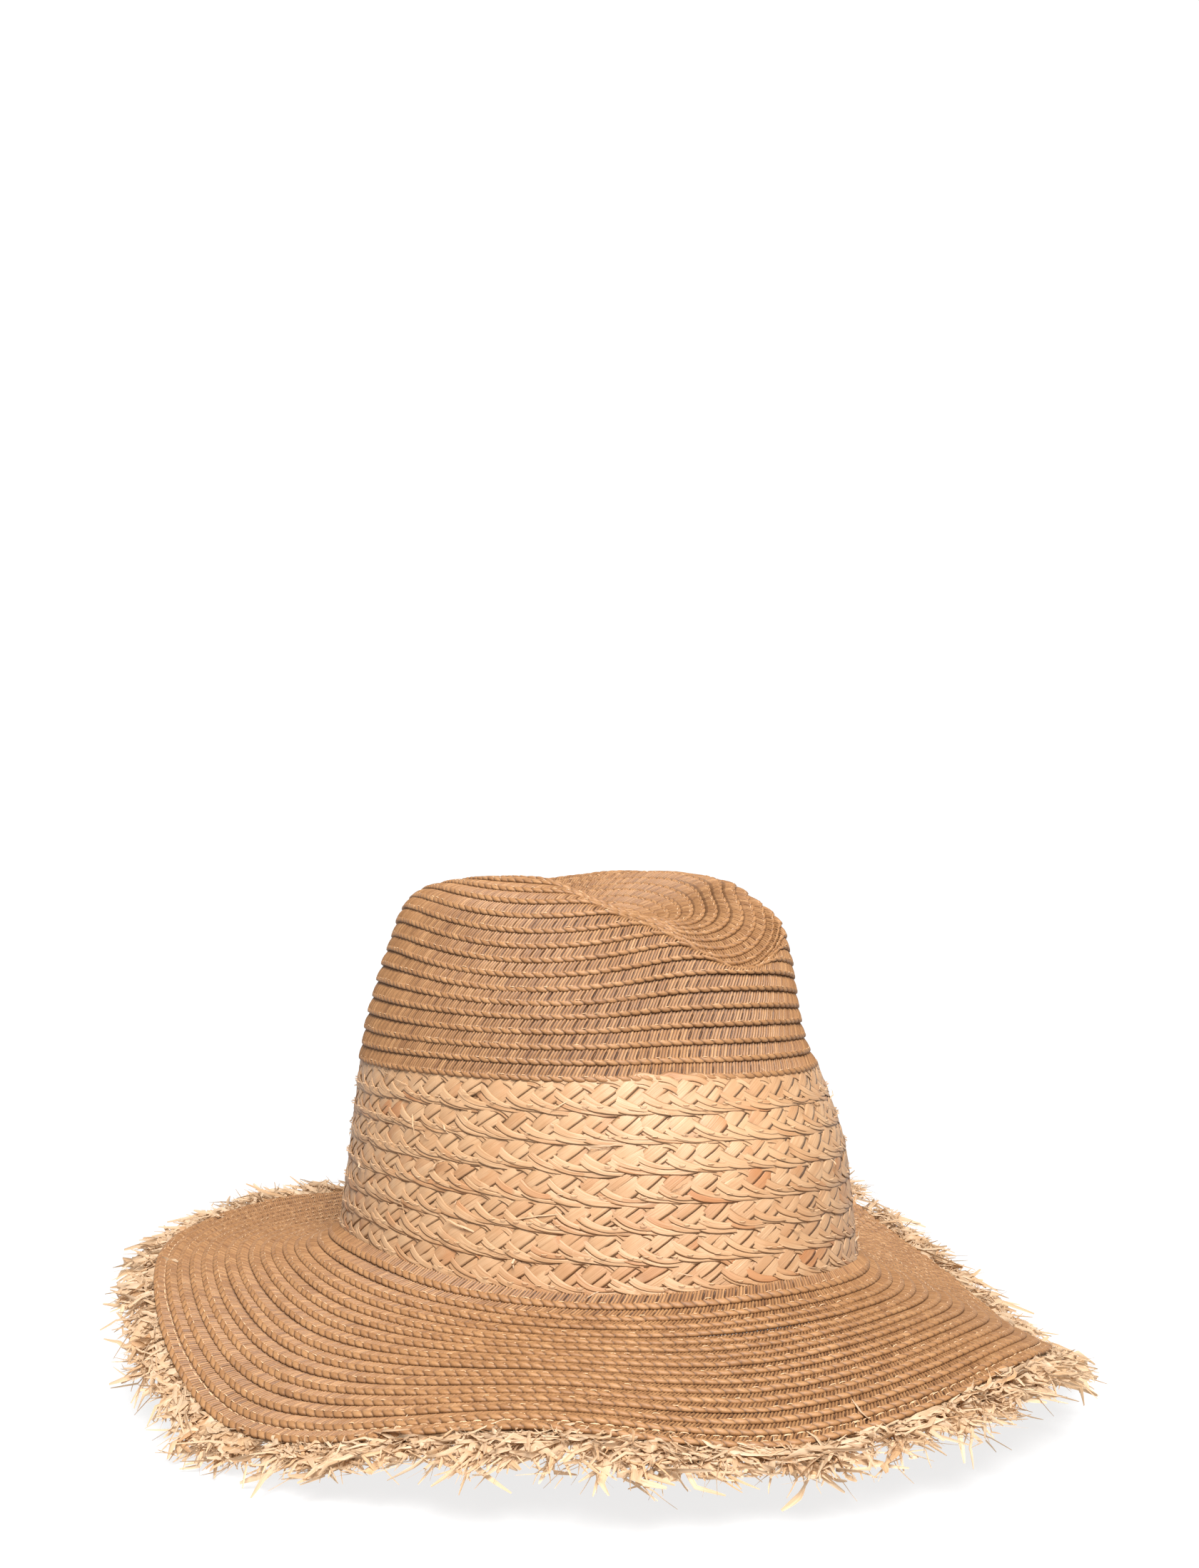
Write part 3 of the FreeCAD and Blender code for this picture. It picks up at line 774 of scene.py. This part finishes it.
# Where the fringe is cut shorter, how widely, and by how much.
FRINGE_SHORT = ((-15.0, 50.0, 0.15), (-108.0, 38.0, 0.15))
CURLS = 300
CURLS_CRINKLE = 0.6
CURLS_IN_FRONT = 0.8            # share of the curled strands near the front, and where
CURLS_ANGLE = -42.0
CURLS_SPREAD = 30.0
LOOSE_FIBRES = 90
FIBRE_CRINKLE = 0.35


def ribbons(name, centre, width, twist, slot, nodes, tint):
    """Flat, lightly folded ribbons along centre lines (strand, ring, xyz)."""
    direction = unit(np.gradient(centre, axis=1))
    up = np.array([0.0, 0.0, 1.0])
    flat = unit(np.cross(direction, up))
    over = np.cross(flat, direction)
    side = flat * np.cos(twist)[..., None] + over * np.sin(twist)[..., None]
    face = np.cross(side, direction)
    half = width[..., None] / 2.0
    points = np.stack([centre - side * half, centre + face * half * 0.4,
                       centre + side * half], axis=2)
    points[..., 2] = np.maximum(points[..., 2], 0.4)
    strands, rings = centre.shape[:2]
    ring = np.linspace(0.0, 1.0, rings)
    coordinates = np.stack(np.broadcast_arrays(
        30.0 * ring[None, :, None] + 7.0 * np.arange(strands)[:, None, None],
        np.array([-1.0, 0.0, 1.0])[None, None, :] * half,
        np.arange(strands)[:, None, None] * 1.7), axis=-1)
    tints = np.broadcast_to(tint[:, None, None], points.shape[:3])
    # Painted shade: strands a little darker near the root, under the brim's edge.
    shade = np.broadcast_to(ease(ring / 0.3)[None, :, None] * 0.1 + 0.9, points.shape[:3])
    build(name, points, sheet_faces(strands, rings, 3), FRINGE, slot, nodes,
          tint=tints.ravel(), shade=shade.ravel(), strand=coordinates)


def crinkle(count, share, amount):
    """Bends that a strand keeps from its curing: sharp, few, and larger towards its tip."""
    knots = np.linspace(0.0, 1.0, 6)
    bends = rng.normal(0.0, amount, (count, len(knots), 3))
    bends[..., 2] *= 0.6
    place = share[0, :, 0] * (len(knots) - 1)
    low = np.minimum(place.astype(int), len(knots) - 2)
    part = (place - low)[None, :, None]
    return (bends[:, low] * (1.0 - part) + bends[:, low + 1] * part) * ease(share / 0.8)


def fringe():
    """Loose raffia strands, gathered into tufts, from the header out past the brim."""
    count = FRINGE_STRANDS
    tuft = rng.integers(0, FRINGE_TUFTS, count)
    spacing = 2.0 * math.pi / FRINGE_TUFTS
    middle = (np.arange(FRINGE_TUFTS) + rng.normal(0.0, 0.3, FRINGE_TUFTS)) * spacing
    aim = rng.normal(0.0, TUFT_AIM, FRINGE_TUFTS) * spacing
    reach = np.clip(rng.normal(1.0, 0.12, FRINGE_TUFTS), 0.75, 1.2)
    rise = rng.normal(0.0, 0.8, FRINGE_TUFTS)

    root_angle = middle[tuft] + rng.normal(0.0, ROOT_SPREAD, count) * spacing
    mid_angle = root_angle + (aim[tuft] * 0.4 + rng.normal(0.0, 0.45, count) * spacing)
    tip_angle = middle[tuft] + aim[tuft] + rng.normal(0.0, TIP_SPREAD, count) * spacing
    length = reach[tuft] * np.clip(rng.normal(*FRINGE_LENGTH, count), 0.4, 1.1)
    far_side = np.maximum(0.0, -np.cos(root_angle - math.radians(FRINGE_LIES)))
    length = length * (1.0 + FRINGE_GROWTH * far_side)
    for place, spread, cut in FRINGE_SHORT:
        away = signed(root_angle - math.radians(place)) / math.radians(spread)
        length = length * (1.0 - cut * np.exp(-away ** 2))
    root = brim_point(rng.uniform(0.5, HEADER_WIDTH, count), root_angle)
    root[:, 2] -= rng.uniform(1.4, 2.6, count)
    mid = fringe_point(length * 0.5, mid_angle)
    mid += rng.normal(0.0, 1.3, (count, 3)) * SCATTER
    mid[:, 2] += rng.normal(-2.0, 0.5, count) + 0.25 * FRINGE_LIFT * far_side
    tip = fringe_point(length, tip_angle)
    tip += rng.normal(0.0, 1.8, (count, 3)) * SCATTER
    tip[:, 2] += rise[tuft] + rng.normal(-1.2, 0.8, count) + FRINGE_LIFT * far_side

    centre = curve(root, mid, tip, ALONG_STRAND) + crinkle(count, ALONG_STRAND, FRINGE_CRINKLE)
    width = np.clip(rng.lognormal(*FRINGE_WIDTH, (count, 1)), 0.35, 3.0)
    ring = ALONG_STRAND[..., 0]
    width = width * (1.0 - 0.75 * ring ** 5) * (0.8 + 0.2 * ease(ring / 0.2))
    twist = rng.normal(0.0, 0.5, (count, 1)) + rng.normal(0.0, 1.4, (count, 1)) * ring
    tint = np.clip(rng.normal(*FRINGE_TINT, count), 0.0, 1.0)
    ribbons("raffia_fringe_strands", centre, width, twist, "raffia_strand",
            ["raffia_fringe"], tint)


def curled_over():
    """Strands that have sprung up and lie on the brim's edge."""
    count = CURLS
    angle = np.where(rng.random(count) < CURLS_IN_FRONT,
                     np.radians(rng.normal(CURLS_ANGLE, CURLS_SPREAD, count)),
                     rng.uniform(0.0, 2.0 * math.pi, count))
    lean = rng.normal(0.0, 0.07, count)
    inward = np.where(rng.random(count) < 0.04, rng.uniform(5.0, 14.0, count),
                      rng.uniform(-7.0, 2.5, count))
    root = brim_point(np.full(count, 0.0), angle)
    root[:, 2] -= 1.0
    mid = brim_point(rng.uniform(-6.0, -1.0, count) + inward / 3.0, angle + lean * 0.5)
    mid[:, 2] += rng.uniform(0.2, 1.6, count)
    tip = brim_point(inward, angle + lean)
    tip[:, 2] += rng.uniform(0.9, 1.5, count)
    centre = curve(root, mid, tip, ALONG_STRAND) + crinkle(count, ALONG_STRAND, CURLS_CRINKLE)
    ring = ALONG_STRAND[..., 0]
    width = np.clip(rng.lognormal(0.1, 0.4, (count, 1)), 0.4, 2.2) * (1.0 - 0.85 * ring ** 3)
    twist = rng.normal(0.0, 0.8, (count, 1)) + rng.normal(0.0, 1.5, (count, 1)) * ring
    tint = np.clip(rng.normal(0.62, 0.2, count), 0.0, 1.0)
    ribbons("raffia_fringe_curls", centre, width, twist, "raffia_strand",
            ["raffia_fringe"], tint)


def loose_fibres(spiral):
    """Split ends and fibres that stand a little off the raffia plait."""
    count = LOOSE_FIBRES
    along = rng.uniform(5.0, spiral.length - 20.0, count)
    across = rng.uniform(1.0, BAND_PITCH, count)
    run = rng.normal(0.0, 7.0, count)
    climb = rng.normal(0.0, 3.0, count)
    root, mid, tip = (
        spiral.points(along + part * run, across + part * climb,
                      rise + rng.normal(0.0, 0.25, count))[0]
        for part, rise in ((0.0, 0.2), (0.5, 2.2), (1.0, 1.5)))
    centre = curve(root, mid, tip, ALONG_STRAND) + crinkle(count, ALONG_STRAND, FIBRE_CRINKLE)
    ring = ALONG_STRAND[..., 0]
    width = rng.uniform(0.25, 0.8, (count, 1)) * (1.0 - 0.8 * ring ** 3)
    twist = rng.normal(1.2, 0.6, (count, 1)) * np.ones_like(ring)
    ribbons("raffia_loose_fibres", centre, width, twist, "raffia_plait", ["raffia_band"],
            np.clip(rng.normal(0.45, 0.3, count), 0.0, 1.0))


# ---- tape, ribbon and label ------------------------------------------------------------
def strip(name, surface, places, heights, angles, material, slot, nodes):
    """A closed strip of cloth on a surface; heights are (columns, 2 * places) above it."""
    angle, place = np.meshgrid(angles, np.concatenate([places, places[::-1]]), indexing="ij")
    points, _ = lifted(surface, place, angle, heights)
    rings, around = place.shape
    return build(name, points, grid_faces(1, rings, around), material, slot, nodes,
                 ends=tube_ends(rings, around))


def girth(surface, place):
    """Length round the hat, along a surface at one place across it."""
    angle = np.linspace(0.0, 2.0 * math.pi, 721)
    line = surface(np.full_like(angle, place), angle)
    return np.linalg.norm(np.diff(line, axis=0), axis=1).sum()


def header():
    """Narrow ribbed tape under the brim's edge, which the fringe's strands are caught in."""
    places = np.linspace(0.3, HEADER_WIDTH, 7)
    angles = np.linspace(0.0, 2.0 * math.pi, TAPE_RIBS * POINTS_TO_RIB + 1)
    top = -BRAID_THICKNESS / 2.0 + 0.1
    wave = TAPE_RIB_HEIGHT * np.sin(angles * TAPE_RIBS)[:, None]
    heights = np.concatenate([np.full(7, top), np.full(7, top - HEADER_THICKNESS)])[None] + wave
    strip("fringe_tape", brim_point, places, heights, angles, TAPE, "header_tape",
          ["fringe_header"])


def sweatband():
    """Grosgrain ribbon with fine upright ribs."""
    places = SWEATBAND_LIFT + np.linspace(0.0, SWEATBAND_HEIGHT, 9)
    angles = math.pi + np.linspace(0.0, 2.0 * math.pi, SWEATBAND_RIBS * POINTS_TO_RIB + 1)
    wave = SWEATBAND_RIB_HEIGHT * np.sin(np.arange(len(angles)) * math.pi / 2.0)[:, None]
    inner = SWEATBAND_OFFSET - SWEATBAND_THICKNESS / 2.0
    outer = SWEATBAND_OFFSET + SWEATBAND_THICKNESS / 2.0
    heights = np.concatenate([np.full(9, outer), np.full(9, inner)])[None] + wave
    ribbon = strip("sweatband_ribbon", band_point, places, heights, angles, RIBBON, "ribbon",
                   ["sweatband"])
    length = girth(band_point, SWEATBAND_LIFT + SWEATBAND_HEIGHT / 2.0)
    length += 2.0 * math.pi * SWEATBAND_OFFSET


def label():
    """Small blank label on the inside of the ribbon, at the back."""
    middle = SWEATBAND_LIFT + SWEATBAND_HEIGHT / 2.0
    places = np.linspace(middle - LABEL_HEIGHT / 2.0, middle + LABEL_HEIGHT / 2.0, 15)
    turn = LABEL_WIDTH / 2.0 / OPENING_HALF_WIDTH
    angles = np.linspace(math.pi - turn, math.pi + turn, 27)
    back = SWEATBAND_OFFSET - LABEL_DEPTH
    heights = np.concatenate([np.full(15, back), np.full(15, back - LABEL_THICKNESS)])[None]
    heights = heights + 0.03 * np.cos(np.arange(27) * math.pi)[:, None]
    patch = strip("inner_label", band_point, places, heights, angles, LABEL, "label_cloth",
                  ["blank_label"])


# ---- floor, light and camera -----------------------------------------------------------
FLOOR_SIZE = 8.0
FLOOR_GLOW = 0.80               # of the floor under the hat, and of the far floor
FLOOR_GLOW_FAR = 0.93
FLOOR_FADE = (0.2, 2.2)         # from the hat, in metres, where one passes into the other
ROOM_LIGHT = 0.34
BACKDROP_LIGHT = 1.06
BACKDROP_FADE = (0.58, 0.80)    # cosine of the angle from straight behind, in the same way
KEY_SIZE = 0.9                  # metres and watts
KEY_POWER = 94.0
KEY_PLACE = (-0.98, -0.83, 1.36)
CAMERA_ANGLE = math.radians(-54.0)      # round the hat from the front


def fade(tree, source, target, places, values):
    """Drives a socket from another: one value up to the first place, one past the second."""
    node = tree.nodes.new("ShaderNodeMapRange")
    node.interpolation_type = "SMOOTHSTEP"
    names = ("From Min", "From Max", "To Min", "To Max")
    for name, value in zip(names, (*places, *values)):
        node.inputs[name].default_value = value
    tree.links.new(source, node.inputs["Value"])
    tree.links.new(node.outputs["Result"], target)


def floor():
    """Pale floor that gives off some light of its own, so that it stays nearly white."""
    mesh = bpy.data.meshes.new("floor")
    half = FLOOR_SIZE / 2.0
    mesh.from_pydata([(-half, -half, 0.0), (half, -half, 0.0), (half, half, 0.0),
                      (-half, half, 0.0)], [], [(0, 1, 2, 3)])
    nodes = Nodes("floor")
    place = nodes.new("ShaderNodeTexCoord").outputs["Object"]
    colour = nodes.ramp(nodes.noise(place, 3.0), (0.0, grey(0.125)), (1.0, grey(0.135)))
    away = nodes.new("ShaderNodeVectorMath", operation="LENGTH")
    nodes.link(place, away.inputs[0])
    fade(nodes.tree, away.outputs["Value"], nodes.shader.inputs["Emission Strength"],
         FLOOR_FADE, (FLOOR_GLOW, FLOOR_GLOW_FAR))
    material = nodes.finish(colour, Roughness=0.9, Emission_Color=(1.0, 1.0, 1.0, 1.0))
    mesh.materials.append(material)
    ground = bpy.data.objects.new("floor", mesh)
    bpy.context.scene.collection.objects.link(ground)


def studio():
    """White behind the hat, dim grey all round it, and one broad soft light."""
    world = bpy.data.worlds.new("studio")
    world.use_nodes = True
    tree = world.node_tree
    place = tree.nodes.new("ShaderNodeTexCoord")
    behind = tree.nodes.new("ShaderNodeVectorMath")
    behind.operation = "DOT_PRODUCT"
    behind.inputs[1].default_value = (-math.sin(CAMERA_ANGLE), math.cos(CAMERA_ANGLE), 0.0)
    tree.links.new(place.outputs["Generated"], behind.inputs[0])
    light = tree.nodes["Background"]
    light.inputs["Color"].default_value = (1.0, 1.0, 1.0, 1.0)
    fade(tree, behind.outputs["Value"], light.inputs["Strength"],
         BACKDROP_FADE, (ROOM_LIGHT, BACKDROP_LIGHT))
    bpy.context.scene.world = world
    bpy.context.scene.view_settings.view_transform = "Standard"
    key = bpy.data.lights.new("key", "AREA")
    key.shape, key.size, key.energy = "DISK", KEY_SIZE, KEY_POWER
    lamp = bpy.data.objects.new("key", key)
    lamp.location = KEY_PLACE
    lamp.rotation_mode = "QUATERNION"
    lamp.rotation_quaternion = (-lamp.location).to_track_quat("-Z", "Y")
    bpy.context.scene.collection.objects.link(lamp)


CAMERA_SENSOR = 24.0
CAMERA_LENS = 24.35
CAMERA_DISTANCE = 0.604
CAMERA_HEIGHT = 0.1178 + STAND_HEIGHT * MM
CAMERA_YAW = math.radians(-0.18)
CAMERA_PITCH = math.radians(4.67)
CAMERA_ROLL = math.radians(0.25)


def camera():
    """Level with the crown, looking slightly up, and turned a little about its own axis."""
    data = bpy.data.cameras.new("camera")
    data.sensor_fit, data.sensor_width, data.lens = "AUTO", CAMERA_SENSOR, CAMERA_LENS
    data.clip_start, data.clip_end = 0.01, 50.0
    eye = bpy.data.objects.new("camera", data)
    heading = CAMERA_ANGLE + CAMERA_YAW
    ahead = np.array([-math.sin(heading) * math.cos(CAMERA_PITCH),
                      math.cos(heading) * math.cos(CAMERA_PITCH), math.sin(CAMERA_PITCH)])
    level = np.array([math.cos(heading), math.sin(heading), 0.0])
    upright = np.cross(level, ahead)
    right = level * math.cos(CAMERA_ROLL) + upright * math.sin(CAMERA_ROLL)
    up = upright * math.cos(CAMERA_ROLL) - level * math.sin(CAMERA_ROLL)
    turn = Matrix(np.stack([right, up, -ahead], axis=1).tolist()).to_4x4()
    turn.translation = (CAMERA_DISTANCE * math.sin(CAMERA_ANGLE),
                        -CAMERA_DISTANCE * math.cos(CAMERA_ANGLE), CAMERA_HEIGHT)
    eye.matrix_world = turn
    bpy.context.scene.collection.objects.link(eye)
    bpy.context.scene.camera = eye


# ---- the hat ---------------------------------------------------------------------------
brim_pitch = BRIM_WIDTH / BRIM_ROWS
crown_way = Spiral(crown_point, crown_row, CROWN_ROWS - 0.1, 1.0, free=13)
brim_way = Spiral(brim_point, lambda row, angle: row * brim_pitch, BRIM_ROWS, 1.0)
band_way = Spiral(band_point, lambda row, angle: row * BAND_PITCH - 0.6, BAND_ROWS, 4.5)
edge_way = Spiral(brim_point, lambda row, angle: np.zeros_like(angle), 1.0, 3.6)

paper_plait("crown_plait", crown_way, CROWN_ROW_PITCH, 2.6, 0.62, 0.50, ["crown_braid"], 3)
paper_plait("brim_plait", brim_way, brim_pitch, 1.2, 0.76, 0.65, ["brim_braid"], 2)
raffia_plait(band_way)
under_leaf(band_way)
stitches("crown_stitches", crown_way, LOBE_WIDTH, 4.2, 1.9, 1.0, "sewing_thread",
         ["crown_thread"], share=0.5, radius=0.13)
stitches("brim_stitches", brim_way, LOBE_WIDTH, 4.2, 2.8, 0.98, "sewing_thread",
         ["brim_thread"], share=0.65, radius=0.15)
stitches("band_stitches", band_way, 1.9, 4.6, 2.2, 1.5, "sewing_thread", ["band_thread"],
         share=0.5, radius=0.13)
stitches("fringe_stitches", edge_way, 3.6, 4.2, 3.0, 0.5, "sewing_thread", ["fringe_thread"])
stitches("sweatband_stitches", edge_way, 3.6, 4.2, 3.0, 0.4, "ribbon_thread",
         ["sweatband_thread"])
fringe()
curled_over()
loose_fibres(band_way)
header()
sweatband()
label()

floor()
studio()
camera()
